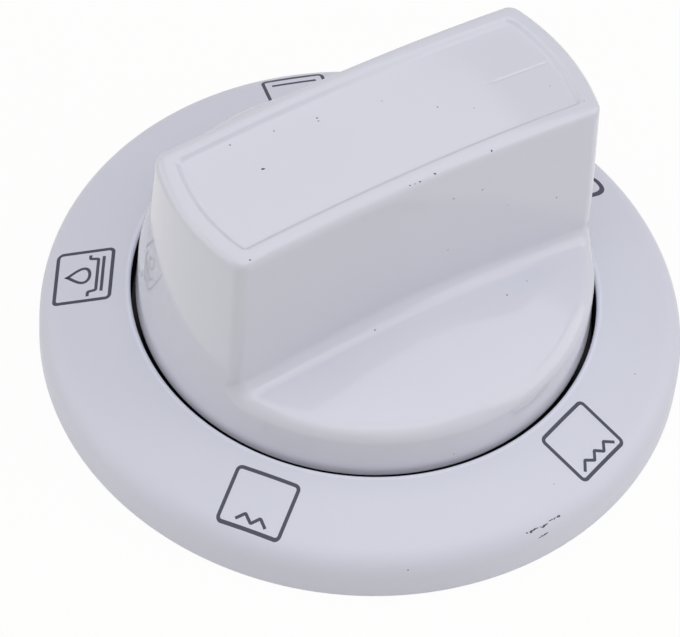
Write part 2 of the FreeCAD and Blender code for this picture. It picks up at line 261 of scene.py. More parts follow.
class StageSettings(PropertyGroup):
    """Camera and lights."""

    distance: FloatProperty(
        name="Distance", description="Camera distance from the ring's back",
        default=0.4415, unit="LENGTH")
    azimuth: FloatProperty(
        name="Azimuth", description="Camera direction round the knob",
        default=math.radians(53.3), subtype="ANGLE")
    elevation: FloatProperty(
        name="Elevation", description="Camera height over the panel",
        default=math.radians(51.53), subtype="ANGLE")
    roll: FloatProperty(
        name="Roll", description="Turn of the camera about its view",
        default=math.radians(5.89), subtype="ANGLE")
    lens: FloatProperty(name="Lens", description="Focal length", default=226.2, unit="CAMERA")
    centre_column: FloatProperty(
        name="Centre column", description="Pixel column of the ring's centre",
        default=359.5, subtype="PIXEL")
    centre_row: FloatProperty(
        name="Centre row", description="Pixel row of the ring's centre",
        default=334.1, subtype="PIXEL")
    key_power: FloatProperty(
        name="Key light", description="Power of the overhead light", default=1.95, unit="POWER")
    front_power: FloatProperty(
        name="Front light", description="Power of the light high in front",
        default=0.65, unit="POWER")
    right_power: FloatProperty(
        name="Right light", description="Power of the light on the right",
        default=0.94, unit="POWER")
    left_power: FloatProperty(
        name="Left light", description="Power of the light on the left", default=0.75, unit="POWER")
    sky: FloatProperty(name="Sky", description="Strength of the even light", default=0.15)


class KnobSettings(PropertyGroup):
    """All settings of the knob."""

    ring: PointerProperty(type=DialRingSettings, name="Ring", description="Dial ring")
    cap: PointerProperty(type=CapSettings, name="Cap", description="Cap with grip")
    marks: PointerProperty(type=MarkSettings, name="Marks", description="Dial marks")
    stage: PointerProperty(type=StageSettings, name="Stage", description="Camera and lights")


# Surfaces as arrays

def grid_faces(rows, columns, wrap_rows=False, wrap_columns=False):
    """Quads of a grid of rows by columns points, row by row, closed where a direction wraps."""
    row = np.arange(rows if wrap_rows else rows - 1)
    column = np.arange(columns if wrap_columns else columns - 1)
    row, column = np.meshgrid(row, column, indexing="ij")
    next_row = (row + 1) % rows
    next_column = (column + 1) % columns
    quads = [row * columns + column, row * columns + next_column,
             next_row * columns + next_column, next_row * columns + column]
    return np.stack(quads, axis=-1).reshape(-1, 4)


def join_shells(shells):
    """One vertex array and one face list from several (vertices, faces) pairs."""
    vertices = []
    faces = []
    start = 0
    for points, quads in shells:
        points = np.asarray(points).reshape(-1, 3)
        vertices.append(points)
        faces.append(np.asarray(quads) + start)
        start += len(points)
    return np.concatenate(vertices), np.concatenate(faces)


def add_piece(name, shells, material, body, sharp_deg=40.0):
    """Mesh object from shells: doubles merged, faces outwards, smooth shaded, riding on a body."""
    vertices, faces = join_shells(shells)
    mesh = bpy.data.meshes.new(name)
    mesh.from_pydata(vertices.tolist(), [], faces.tolist())
    work = bmesh.new()
    work.from_mesh(mesh)
    bmesh.ops.remove_doubles(work, verts=work.verts, dist=MERGE_DISTANCE)
    bmesh.ops.dissolve_degenerate(work, edges=work.edges, dist=SLIVER_WIDTH)
    bmesh.ops.recalc_face_normals(work, faces=work.faces)
    work.to_mesh(mesh)
    work.free()
    mesh.shade_smooth()
    mesh.set_sharp_from_angle(angle=math.radians(sharp_deg))
    mesh.materials.append(material)
    piece = bpy.data.objects.new(name, mesh)
    bpy.context.scene.collection.objects.link(piece)
    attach(piece, body)
    return piece


def rounded_loop(corners, radii, steps):
    """Closed outline with every corner replaced by a tangent arc.

    The arc of a corner starts and ends at radius / tan(half angle) from it, and its points turn
    about the centre at equal angles.
    """
    corners = np.asarray(corners, dtype=float)
    before = np.roll(corners, 1, axis=0) - corners
    after = np.roll(corners, -1, axis=0) - corners
    before /= np.linalg.norm(before, axis=1)[:, None]
    after /= np.linalg.norm(after, axis=1)[:, None]
    half = np.arccos(np.clip((before * after).sum(axis=1), -1, 1)) / 2
    radii = np.asarray(radii, dtype=float)
    bisector = before + after
    bisector /= np.linalg.norm(bisector, axis=1)[:, None]
    centre = corners + bisector * (radii / np.sin(half))[:, None]
    start = corners + before * (radii / np.tan(half))[:, None] - centre
    end = corners + after * (radii / np.tan(half))[:, None] - centre
    sweep = np.pi - 2 * half
    share = np.linspace(0, 1, steps)[None, :, None]
    sweep = sweep[:, None, None]
    from_start = np.sin((1 - share) * sweep) * start[:, None]
    from_end = np.sin(share * sweep) * end[:, None]
    return (centre[:, None] + (from_start + from_end) / np.sin(sweep)).reshape(-1, 2)


def resample_line(line, spacing, closed):
    """Line with points added on its long straight stretches, no further apart than spacing."""
    ends = np.roll(line, -1, axis=0)
    length = np.linalg.norm(ends - line, axis=1)
    counts = np.maximum(1, np.ceil(length / spacing).astype(int))
    if not closed:
        counts[-1] = 1
    index = np.repeat(np.arange(len(line)), counts)
    share = (np.arange(len(index)) - np.repeat(np.cumsum(counts) - counts, counts)) / counts[index]
    return line[index] + (ends[index] - line[index]) * share[:, None]


def turned_shell(loop, segments):
    """Surface of revolution: every (radius, height) point of a closed outline goes round the axis."""
    angle = np.linspace(0, TAU, segments, endpoint=False)[:, None]
    radius = loop[None, :, 0]
    height = np.broadcast_to(loop[None, :, 1], (segments, len(loop)))
    points = np.stack([radius * np.cos(angle), radius * np.sin(angle), height], axis=-1)
    return points, grid_faces(segments, len(loop), True, True)


def box_shell(low, high):
    """Closed box: its eight corners are low or high along each axis, by the bits of their number."""
    low = np.asarray(low, dtype=float)
    high = np.asarray(high, dtype=float)
    bits = (np.arange(8)[:, None] >> np.arange(3)) & 1
    faces = [[0, 2, 3, 1], [4, 5, 7, 6], [0, 1, 5, 4], [2, 6, 7, 3], [0, 4, 6, 2], [1, 3, 7, 5]]
    return low + bits * (high - low), np.array(faces)


def turn_about_axis(points, angle):
    """Points turned about the upright axis."""
    cos, sin = math.cos(angle), math.sin(angle)
    return points @ np.array([[cos, sin, 0], [-sin, cos, 0], [0, 0, 1]])


# Dial ring

RING_SEGMENTS = 360
RING_ARC_STEPS = 13
RING_SPACING = 0.9 * MM  # longest step of the ring's outline
RIB_JOIN = 0.3 * MM  # how far a rib reaches into collar and skirt
ROOF_JOIN = 0.4 * MM  # how far ribs and bosses reach into the face
BOSS_SEGMENTS = 48
BOSS_TIP = 0.02 * MM  # radius left open on a boss's axis


def ring_face_height(ring, radius):
    """Height of the dial face: a straight fall from the rim at the hole."""
    return ring.rim_height - (radius - ring.hole_radius) * math.tan(ring.slope)


def ring_surface_height(ring, radius):
    """Height of the face and of the shoulder's arc, which is tangent to the face and to the skirt."""
    rounding = ring.shoulder_radius
    centre_r = ring.outer_radius - rounding
    centre_z = ring_face_height(ring, centre_r) - rounding / math.cos(ring.slope)
    arc = centre_z + np.sqrt(np.maximum(rounding ** 2 - (radius - centre_r) ** 2, 0))
    tangent_r = centre_r + rounding * math.sin(ring.slope)
    return np.where(radius < tangent_r, ring_face_height(ring, radius), arc)


def ring_under_height(ring, radius):
    """Height of the face's underside."""
    return ring_face_height(ring, radius) - ring.skin / math.cos(ring.slope)


def ring_shells(ring):
    """Turned shell with rounded edges, ribs and screw bosses of the dial ring."""
    collar = ring.hole_radius + ring.collar_wall
    skirt = ring.outer_radius - ring.skin
    middle = (collar + skirt) / 2
    lip = ring.hole_radius - ring.lip_reach
    lip_top = ring.lip_height + ring.lip_thickness
    foot_rounding = 0.7 * ring.edge_rounding
    fine_rounding = 0.6 * ring.edge_rounding
    corners = np.array([
        (ring.outer_radius, 0.0, foot_rounding),
        (ring.outer_radius, ring_face_height(ring, ring.outer_radius), ring.shoulder_radius),
        (ring.hole_radius, ring.rim_height, ring.edge_rounding),
        (ring.hole_radius, lip_top, fine_rounding),
        (lip, lip_top, fine_rounding),
        (lip, ring.lip_height, fine_rounding),
        (collar, ring.lip_height, fine_rounding),
        (collar, ring_under_height(ring, collar), fine_rounding),
        (skirt, ring_under_height(ring, skirt), fine_rounding),
        (skirt, 0.0, foot_rounding),
    ])
    loop = rounded_loop(corners[:, :2], corners[:, 2], RING_ARC_STEPS)
    shells = [turned_shell(resample_line(loop, RING_SPACING, True), RING_SEGMENTS)]
    half = ring.rib_thickness / 2
    step = TAU / ring.rib_count
    for index in range(ring.rib_count):
        points, faces = box_shell((collar - RIB_JOIN, -half, 0), (skirt + RIB_JOIN, half, 1))
        roof = ring_under_height(ring, np.where(points[:, 0] < middle, collar, skirt)) + ROOF_JOIN
        points[:, 2] = np.where(points[:, 2] > 0, roof, ring.lip_height)
        shells.append((turn_about_axis(points, (index + 0.5) * step), faces))
    boss_roof = ring_under_height(ring, middle) + ROOF_JOIN
    boss = np.array([
        (ring.boss_radius, 0.0), (ring.boss_radius, boss_roof),
        (BOSS_TIP, boss_roof), (BOSS_TIP, ring.bore_depth),
        (ring.bore_radius, ring.bore_depth), (ring.bore_radius, 0.0),
    ])
    for side in (-1, 1):
        points, faces = turned_shell(boss, BOSS_SEGMENTS)
        shells.append((points.reshape(-1, 3) + np.array([side * middle, 0, 0]), faces))
    return shells


# Cap with drum and grip

FINEST_SPACING = 0.035 * MM  # closer grid lines of the grip's top become one
PLAIN_ACROSS, PLAIN_ALONG = 25, 61  # even grid lines of the grip's top
CORNER_FAN = 9  # lines that turn round a corner of the grip
FOOT_ZONE = 3.0 * MM  # height over and under the drum's edge with the finer rows
TOP_CROWDING = 1.5  # rows down the grip lie closer near its top
OUTER_ROWS = {"over": 8, "down": 22, "across": 90, "low": 3}
INNER_ROWS = {"over": 4, "down": 10, "across": 24, "low": 2}


def smooth_step(value):
    """Cubic step from 0 to 1."""
    value = np.clip(value, 0, 1)
    return value * value * (3 - 2 * value)


def round_both(first, second, radius):
    """Distance to the common part of two forms, with the edge between them rounded."""
    reach = np.hypot(np.maximum(radius + first, 0), np.maximum(radius + second, 0))
    return np.minimum(-radius, np.maximum(first, second)) + reach


def round_either(first, second, radius):
    """Distance to two forms put together, with a hollow rounding where they meet."""
    reach = np.hypot(np.maximum(radius - first, 0), np.maximum(radius - second, 0))
    return np.maximum(radius, np.minimum(first, second)) - reach


def wall_radius(cap, height):
    """Radius of the drum wall and of the grip's ends at a height."""
    return cap.drum_radius - (height - cap.edge_height) * math.tan(cap.end_draft)


def drum_face(cap, radius):
    """Height of the drum's top, which falls gently outwards, at a radius."""
    return cap.drum_edge + (wall_radius(cap, cap.drum_edge) - radius) * math.tan(cap.drum_fall)


def half_width(cap, height):
    """Half width of the grip at a height."""
    foot = drum_face(cap, cap.foot_width / 2)
    rise = (height - foot) / (cap.grip_top - foot)
    return (cap.foot_width + (cap.top_width - cap.foot_width) * rise) / 2


def top_reach(cap, inset=0.0):
    """Half width and end radius of the grip at its top, less an inset."""
    return half_width(cap, cap.grip_top) - inset, wall_radius(cap, cap.grip_top) - inset


def arch_height(cap, along, depth=0.0):
    """Height of the grip's arched top, or of an arch that lies deeper, at a place along the grip."""
    return cap.grip_top - cap.arch_radius + np.sqrt((cap.arch_radius - depth) ** 2 - along ** 2)


def roof_depth(cap):
    """Depth of the hollow's ceiling below the grip's top."""
    return cap.tray_depth + cap.wall


def cap_distance(cap, points, hollow):
    """Distance to the moulding's skin, or to that of the hollow inside it.

    The skin is the common part of the drafted wall and of a section made of drum and bar. The
    rounding of their edge goes over from the drum's to that of the grip's corners where the edge
    climbs from the drum's top to the grip, and the arched top is cut off with a small rounding.
    The hollow lies a wall inside, upright at its mouth, with a flat ceiling in the drum.
    """
    x, y, z = points[..., 0], points[..., 1], points[..., 2]
    radius = np.hypot(x, y)
    inset = cap.wall if hollow else 0.0
    draft_height = np.maximum(z - inset, cap.edge_height)
    wall = (radius - wall_radius(cap, draft_height) + inset) * math.cos(cap.end_draft)
    side = np.abs(x) - half_width(cap, z) + inset
    top = np.hypot(y, z - cap.grip_top + cap.arch_radius) - cap.arch_radius
    if hollow:
        rounding = 0.4 * cap.corner_rounding
        section = round_either(side, z - cap.ceiling, rounding)
        top = top + roof_depth(cap)
    else:
        rise = z - drum_face(cap, radius)
        climb_height = 1.3 * cap.foot_rounding
        climb = smooth_step(rise / climb_height)
        rounding = cap.drum_rounding + (cap.corner_rounding - cap.drum_rounding) * climb
        section = round_either(side, rise * math.cos(cap.drum_fall), cap.foot_rounding)
    return round_both(round_both(wall, section, rounding), top, cap.top_rounding)


def pull_to_skin(cap, points, hollow, rounds=7):
    """Newton steps along the distance's slope until the points lie on the skin."""
    step = 0.002 * MM
    for _ in range(rounds):
        away = cap_distance(cap, points, hollow)
        change = [cap_distance(cap, points + shift, hollow) - cap_distance(cap, points - shift, hollow)
                  for shift in np.eye(3) * step]
        slope = np.stack(change, axis=-1) / (2 * step)
        length = np.maximum((slope ** 2).sum(axis=-1, keepdims=True), 1e-6)
        points = points - slope * away[..., None] / length
    return points


def spaced_lines(half, plain, clusters):
    """Grid lines from -half to half: even ones, and finer ones round each cluster's two places."""
    lines = [np.linspace(-half, half, plain)]
    for place, reach, count in clusters:
        fine = place + np.linspace(-reach, reach, count)
        lines += [fine, -fine]
    lines = np.unique(np.round(np.concatenate(lines), 8))
    lines = lines[np.abs(lines) <= half]
    keep = np.concatenate([[True], np.diff(lines) > FINEST_SPACING])
    keep[-1] = True
    return lines[keep]


def top_height(cap, x, y):
    """Height of the grip's top: an arched rim, a tray with soft sides and a fine pointer groove."""
    half, end = top_reach(cap)
    side_room = half - cap.tray_side_rim - np.abs(x)
    end_room = end - cap.tray_end_rim - np.hypot(x, y)
    inside = -round_both(-side_room, -end_room, 0.5 * cap.tray_side_rim)
    tray = cap.tray_depth * smooth_step(inside / cap.tray_slope)
    line_end = end - cap.tray_end_rim - cap.tray_slope - cap.pointer_gap
    quarter = cap.pointer_width / 4
    across = 1 - smooth_step((np.abs(x) - quarter) / (2 * quarter))
    soft = cap.pointer_width
    along = smooth_step((line_end - y) / soft) * smooth_step((y - line_end + cap.pointer_length) / soft)
    return arch_height(cap, y) - tray - cap.pointer_depth * across * along


def top_lines(cap):
    """Grid lines of the grip's top as shares of its half width and length, fine at tray and pointer."""
    half, end = top_reach(cap, cap.corner_rounding)
    full_half, full_end = top_reach(cap)
    tray_side = (full_half - cap.tray_side_rim - cap.tray_slope / 2, 0.55 * MM, 11)
    tray_end = (full_end - cap.tray_end_rim - cap.tray_slope / 2 - 0.05 * MM, 0.9 * MM, 15)
    pointer = (0.0, 0.22 * MM, 11)
    across = spaced_lines(half, PLAIN_ACROSS, [tray_side, pointer]) / half
    along = spaced_lines(end, PLAIN_ALONG, [tray_end]) / end
    return across, along


def top_plan(cap, inset, lines):
    """Plan grid of the grip's top inside an inset: straight sides, ends round the turning axis."""
    half, end = top_reach(cap, inset)
    x, share = np.meshgrid(lines[0] * half, lines[1], indexing="ij")
    return x, share * np.sqrt(end ** 2 - x ** 2)


def skirt_columns(x, y):
    """Start points and outward directions of the lines that run down from the edge of a plan grid.

    Along the sides the direction is straight out, at the ends it is radial, and at each corner
    a fan of lines turns from one to the other.
    """
    side = np.stack([x[-1, :], y[-1, :]], axis=-1)
    end = np.stack([x[::-1, -1], y[::-1, -1]], axis=-1)
    side_out = np.tile([1.0, 0.0], (len(side), 1))
    end_out = end / np.linalg.norm(end, axis=1)[:, None]
    lean = math.atan2(end_out[0, 1], end_out[0, 0])
    turn = np.linspace(0, lean, CORNER_FAN + 2)[1:-1]
    corner = np.tile(side[-1], (CORNER_FAN, 1))
    corner_out = np.stack([np.cos(turn), np.sin(turn)], axis=-1)
    runs = ((side, corner, end), (side_out, corner_out, end_out))
    half = [np.concatenate([along, bend, across, (bend * [-1, 1])[::-1]]) for along, bend, across in runs]
    return [np.concatenate([part, -part]) for part in half]


def skirt_rows(cap, start, outward, hollow, rows):
    """Surface from the top's edge over the sides and the drum down to the drum's lower edge.

    Each line goes out over the rim, down the grip, out over the drum's top to the wall and down
    the wall. It starts as that bent line in an upright plane and is then pulled onto the skin.
    """
    rim = cap.corner_rounding
    inset = cap.wall if hollow else 0.0
    foot_top = cap.ceiling if hollow else drum_face(cap, cap.foot_width / 2)
    roof = arch_height(cap, start[:, 1], roof_depth(cap) if hollow else 0.0)[None, :]
    zone = FOOT_ZONE - inset
    foot = rim + half_width(cap, foot_top) - half_width(cap, cap.grip_top)
    along = (start * outward).sum(axis=1)
    wall = wall_radius(cap, cap.drum_edge) - inset
    edge = -along + np.sqrt(along ** 2 - (start ** 2).sum(axis=1) + wall ** 2)
    run = np.maximum(edge - foot, 0.0)[None, :]
    columns = np.ones((1, len(start)))
    path = np.linspace(0, 1, rows["across"] + 1)[:, None] * (2 * zone + run)
    q_across = foot + np.clip(path - zone, 0, run)
    level = np.linalg.norm(start + outward * q_across[..., None], axis=-1)
    level = np.full_like(level, foot_top) if hollow else drum_face(cap, level)
    z_across = level + zone - np.minimum(path, zone) - np.maximum(path - zone - run, 0)
    q_over = (rim * (1 - (1 - np.linspace(0, 1, rows["over"])) ** 2))[:, None] * columns
    z_over = roof * np.ones((rows["over"], 1))
    share = np.linspace(0, 1, rows["down"] + 1)[1:-1, None] ** TOP_CROWDING
    z_down = roof - share * (roof - z_across[:1])
    q_down = rim + share * (foot - rim) * columns
    share = np.linspace(0, 1, rows["low"] + 1)[1:, None]
    z_low = z_across[-1:] + share * (cap.edge_height - z_across[-1:])
    q_low = (foot + run) * np.ones((rows["low"], 1))
    q = np.concatenate([q_over, q_down, q_across, q_low])
    z = np.concatenate([z_over, z_down, z_across, z_low])
    points = np.concatenate([start[None] + outward[None] * q[..., None], z[..., None]], axis=-1)
    points[1:] = pull_to_skin(cap, points[1:], hollow)
    bottom = points[-1, :, :2]
    points[-1, :, :2] = bottom / np.linalg.norm(bottom, axis=1)[:, None] * (cap.drum_radius - inset)
    points[-1, :, 2] = cap.edge_height
    return points


def cap_shells(cap):
    """Outer skin, lower edge, hollow inside and inner ribs of the cap."""
    rim = cap.corner_rounding
    lines = top_lines(cap)
    x, y = top_plan(cap, rim, lines)
    top = np.stack([x, y, top_height(cap, x, y)], axis=-1)
    outer = skirt_rows(cap, *skirt_columns(x, y), False, OUTER_ROWS)
    x, y = top_plan(cap, rim + cap.wall, lines)
    ceiling = np.stack([x, y, arch_height(cap, y, roof_depth(cap))], axis=-1)
    inner = skirt_rows(cap, *skirt_columns(x, y), True, INNER_ROWS)
    lower_edge = np.stack([outer[-1], inner[-1]])
    shells = [
        (top, grid_faces(*x.shape)),
        (outer, grid_faces(*outer.shape[:2], False, True)),
        (lower_edge, grid_faces(*lower_edge.shape[:2], False, True)),
        (inner, grid_faces(*inner.shape[:2], False, True)),
        (ceiling, grid_faces(*x.shape)),
    ]
    reach = half_width(cap, cap.rib_low) - cap.wall / 2
    rib_top = arch_height(cap, cap.rib_spacing / 2, roof_depth(cap) - cap.wall / 2)
    for side in (-1, 1):
        middle = side * cap.rib_spacing / 2
        shells.append(box_shell(
            (-reach, middle - cap.rib_thickness / 2, cap.rib_low),
            (reach, middle + cap.rib_thickness / 2, rib_top),
        ))
    return shells


# Printed marks

LINE_ARC_STEPS = 7
LINE_SPACING = 0.2 * MM  # longest step of a printed line
LINE_BEND = 0.12 * MM  # rounding of a line's corners
THIN_SHARE = 0.86  # width of the inner lines against the frame's
PRINT_TOP_SHARE = 0.94  # width of a line's top against its foot
MITRE_LIMIT = 0.5  # a bend widens a line at most by the inverse
DROP_POINTS = 48
ZERO_POINTS = 64
ZERO_SQUARENESS = 2.6  # 2 would be an ellipse


def rounded_line(points, radius, closed):
    """Line through points with its corners rounded, closed or with open ends."""
    points = np.asarray(points, dtype=float)
    line = rounded_loop(points, np.full(len(points), radius), LINE_ARC_STEPS)
    if not closed:
        line = np.concatenate([points[:1], line[LINE_ARC_STEPS:-LINE_ARC_STEPS], points[-1:]])
    return resample_line(line, LINE_SPACING, closed)


def stroke_shell(path, width, ink, closed, place):
    """Printed line: a flat four-sided profile carried along a path on the dial face.

    The path's points move left and right by half the width, at right angles to the path, and the
    profile stands as high as the ink is thick, with its foot sunk into the face.
    """
    ahead = np.roll(path, -1, axis=0) - path
    ahead /= np.maximum(np.linalg.norm(ahead, axis=1), 1e-12)[:, None]
    if not closed:
        ahead[-1] = ahead[-2]
    behind = np.roll(ahead, 1, axis=0)
    if not closed:
        behind[0] = ahead[0]
    mean = ahead + behind
    mean /= np.linalg.norm(mean, axis=1)[:, None]
    widen = 1 / np.maximum((mean * ahead).sum(axis=1), MITRE_LIMIT)
    left = np.stack([-mean[:, 1], mean[:, 0]], axis=-1) * (widen * width / 2)[:, None]
    top = left * PRINT_TOP_SHARE
    sunk = -2 * ink
    profile = [(path + left, sunk), (path + top, ink), (path - top, ink), (path - left, sunk)]
    points = np.stack([place(line, lift) for line, lift in profile], axis=1)
    faces = grid_faces(len(path), 4, closed, True)
    if not closed:
        last = 4 * (len(path) - 1)
        faces = np.concatenate([faces, [[0, 1, 2, 3], [last + 3, last + 2, last + 1, last]]])
    return points, faces


def dial_place(ring, radius, angle):
    """Function that puts (along, outwards) points of a mark on the face at a radius and an angle."""
    radial = np.array([math.cos(angle), math.sin(angle)])
    tangent = np.array([-math.sin(angle), math.cos(angle)])

    def place(points, lift):
        plan = radial * (radius + points[:, 1:]) + tangent * points[:, :1]
        height = ring_surface_height(ring, np.linalg.norm(plan, axis=1)) + lift
        return np.concatenate([plan, height[:, None]], axis=1)

    return place


def in_frame(marks, points):
    """Points given as shares of a frame, from its corner, as lengths from its middle."""
    return (np.asarray(points, dtype=float) - 0.5) * [marks.frame_width, marks.frame_depth]


def frame_line(marks):
    """Closed line of a frame with rounded corners."""
    return rounded_line(in_frame(marks, [(0, 0), (1, 0), (1, 1), (0, 1)]), marks.frame_corner, True)


def drop_line(marks):
    """Closed line of a drop: pointed outwards, round inwards.

    With t from 0 to a full turn, the length goes with cos t and the width with sin t times the
    power 1.5 of sin t/2.
    """
    middle = np.array([0.49, 0.6])
    half_size = 0.205
    t = np.linspace(0, TAU, DROP_POINTS, endpoint=False)
    shape = np.stack([np.sin(t) * np.sin(t / 2) ** 1.5, np.cos(t)], axis=-1)
    return in_frame(marks, middle + half_size * shape)


def zero_line(marks):
    """Closed line of a zero: an upright loop between a circle and a rectangle."""
    t = np.linspace(0, TAU, ZERO_POINTS, endpoint=False)
    bend = 2 / ZERO_SQUARENESS
    across = np.sign(np.cos(t)) * np.abs(np.cos(t)) ** bend * marks.zero_width / 2
    upright = np.sign(np.sin(t)) * np.abs(np.sin(t)) ** bend * marks.zero_height / 2
    return np.stack([across, upright], axis=-1)


def mark_lines(marks):
    """Lines of the five marks in turn, clockwise from the zero: (name, [(line, stroke, closed)])."""
    thin = THIN_SHARE * marks.stroke
    border = (frame_line(marks), marks.stroke, True)
    full_grill = [(0.128, 0.895), (0.274, 0.755), (0.398, 0.875), (0.518, 0.752),
                  (0.633, 0.88), (0.753, 0.752), (0.89, 0.895)]
    small_grill = [(0.26, 0.882), (0.382, 0.745), (0.511, 0.885), (0.627, 0.747), (0.751, 0.888)]
    pan = [(0.085, 0.41), (0.158, 0.41), (0.18, 0.26), (0.81, 0.26), (0.832, 0.405), (0.92, 0.405)]
    base = [(0.137, 0.162), (0.843, 0.162)]
    upper = [(0.13, 0.82), (0.87, 0.82)]

    def open_line(points):
        return rounded_line(in_frame(marks, points), LINE_BEND, False), thin, False

    def straight_line(points):
        return resample_line(in_frame(marks, points), LINE_SPACING, False), thin, False

    return [
        ("mark_zero", [(zero_line(marks), marks.zero_stroke, True)]),
        ("mark_full_grill", [border, open_line(full_grill)]),
        ("mark_small_grill", [border, open_line(small_grill)]),
        ("mark_drip_pan", [border, (drop_line(marks), thin, True), open_line(pan), straight_line(base)]),
        ("mark_upper_heat", [border, straight_line(upper)]),
    ]


# Dust and scuff: each spot's pixel column, pixel row and size in millimetres

FLAKE_SPOKES = 14
FLAKE_RINGS = (0.02, 0.55, 0.85, 1.0)  # radii of a flake's rings as shares
FLAKE_LIFTS = (0.16, 0.13, 0.07, -0.1)  # their heights as shares of its size
FLAKE_WIDTH_SHARE = 0.75
FLAKE_SEED_STEP = 1.7
SCUFF_STRETCH = 1.6
DUST_SPOTS = {
    "tray_left": (263, 169, 0.36),
    "tray_back_rim": (230, 145, 0.20),
    "tray_back": (274, 131, 0.18),
    "tray_back_middle": (317, 118, 0.22),
    "tray_back_second": (318.5, 121, 0.18),
    "tray_middle": (382, 101, 0.12),
    "tray_far": (474, 108, 0.14),
    "far_rim": (550, 86, 0.12),
    "far_edge": (584, 101, 0.12),
    "near_edge_left": (250, 260, 0.22),
    "near_edge_first": (410, 185.5, 0.18),
    "near_edge_second": (415, 183.8, 0.14),
    "near_edge_middle": (420, 181.7, 0.22),
    "near_edge_third": (435, 173.7, 0.26),
    "near_edge_right": (491.7, 150.8, 0.24),
    "near_side_right": (482.5, 189.7, 0.18),
    "near_side_middle": (453.8, 198.8, 0.18),
    "near_side_low": (508, 205, 0.12),
    "near_side_far": (556.7, 197.5, 0.18),
    "foot_middle": (448, 250, 0.14),
    "foot_left": (375, 330, 0.20),
    "drum_top_middle": (507, 295, 0.20),
    "drum_top_right": (527, 281, 0.14),
    "drum_front": (454, 454, 0.14),
    "ring_front_right": (554, 484, 0.12),
    "ring_front": (408, 570, 0.18),
    "ring_right": (635, 374, 0.14),
    "ring_dot": (558.5, 516.3, 0.38),
}
SCUFF_SPOTS = {
    "line_start": (527, 533, 0.18),
    "line_first": (531.2, 531.6, 0.32),
    "line_second": (534, 529.7, 0.30),
    "line_third": (537, 528.2, 0.18),
    "line_fourth": (541, 527, 0.14),
    "line_fifth": (543.8, 526.3, 0.32),
    "line_sixth": (546, 524.5, 0.24),
    "line_seventh": (550, 520.5, 0.18),
    "line_eighth": (552, 519.4, 0.16),
    "line_end": (554.5, 518.5, 0.20),
    "lower_start": (540, 537.4, 0.18),
    "lower_first": (542.5, 535.9, 0.22),
    "lower_second": (545, 534.3, 0.22),
    "lower_end": (547, 533.1, 0.18),
}


def camera_frame(stage):
    """Right, up and back directions and place of the camera, which aims at the ring's centre."""
    back = np.array([
        math.sin(stage.azimuth) * math.cos(stage.elevation),
        -math.cos(stage.azimuth) * math.cos(stage.elevation),
        math.sin(stage.elevation),
    ])
    level = np.array([math.cos(stage.azimuth), math.sin(stage.azimuth), 0.0])
    upright = np.cross(back, level)
    right = level * math.cos(stage.roll) + upright * math.sin(stage.roll)
    up = upright * math.cos(stage.roll) - level * math.sin(stage.roll)
    return right, up, back, back * stage.distance


def pixel_ray(stage, column, row):
    """Place of the camera and direction of the ray through a pixel of the photograph's frame."""
    right, up, back, place = camera_frame(stage)
    across = (column - stage.centre_column) / PHOTO_WIDTH * SENSOR_WIDTH
    upwards = (stage.centre_row - row) / PHOTO_WIDTH * SENSOR_WIDTH
    direction = right * across + up * upwards - back * stage.lens
    return Vector(place), Vector(direction).normalized()


def flake_shell(place, normal, size, seed, stretch):
    """Low dome with a ragged edge: rings of a disc whose radius wavers with the angle.

    The disc may be longer along the direction round the turning axis than across it.
    """
    angle = np.linspace(0, TAU, FLAKE_SPOKES, endpoint=False)[None, :]
    waver = 1 + 0.28 * np.sin(2 * angle + seed) + 0.16 * np.sin(3 * angle + 2.3 * seed)
    reach = (np.array(FLAKE_RINGS)[:, None] * waver * size / 2)[..., None]
    lift = np.array(FLAKE_LIFTS)[:, None] * size
    side = Vector((0, 0, 1)).cross(normal)
    side = side.normalized() if side.length > 0.2 else normal.orthogonal().normalized()
    other = np.array(normal.cross(side)) * FLAKE_WIDTH_SHARE
    side = np.array(side) * stretch
    points = np.array(place) + reach * (np.cos(angle)[..., None] * side + np.sin(angle)[..., None] * other)
    points = points + lift[..., None] * np.array(normal)
    return points, grid_faces(len(FLAKE_RINGS), FLAKE_SPOKES, False, True)


# Finishes

PLASTIC_IOR = 1.5


def shader_group(name, inputs, outputs):
    """New shader node group with its sockets, and its nodes for input and output."""
    group = bpy.data.node_groups.new(name, "ShaderNodeTree")
    for label, kind, default in inputs:
        socket = group.interface.new_socket(label, in_out="INPUT", socket_type=kind)
        if default is not None:
            socket.default_value = default
    for label, kind in outputs:
        group.interface.new_socket(label, in_out="OUTPUT", socket_type=kind)
    return group, group.nodes.new("NodeGroupInput"), group.nodes.new("NodeGroupOutput")


def feed(tree, value, socket):
    """Link a socket to an input, or set the input to a plain value."""
    if isinstance(value, bpy.types.NodeSocket):
        tree.links.new(value, socket)
    else:
        socket.default_value = value


def math_node(tree, operation, *values):
    """Math node fed by sockets or numbers."""
    node = tree.nodes.new("ShaderNodeMath")
    node.operation = operation
    for index, value in enumerate(values):
        feed(tree, value, node.inputs[index])
    return node.outputs[0]


def noise_node(tree, vector, scale, detail):
    """Noise value at a vector."""
    node = tree.nodes.new("ShaderNodeTexNoise")
    node.inputs["Detail"].default_value = detail
    tree.links.new(vector, node.inputs["Vector"])
    tree.links.new(scale, node.inputs["Scale"])
    return node.outputs["Fac"]


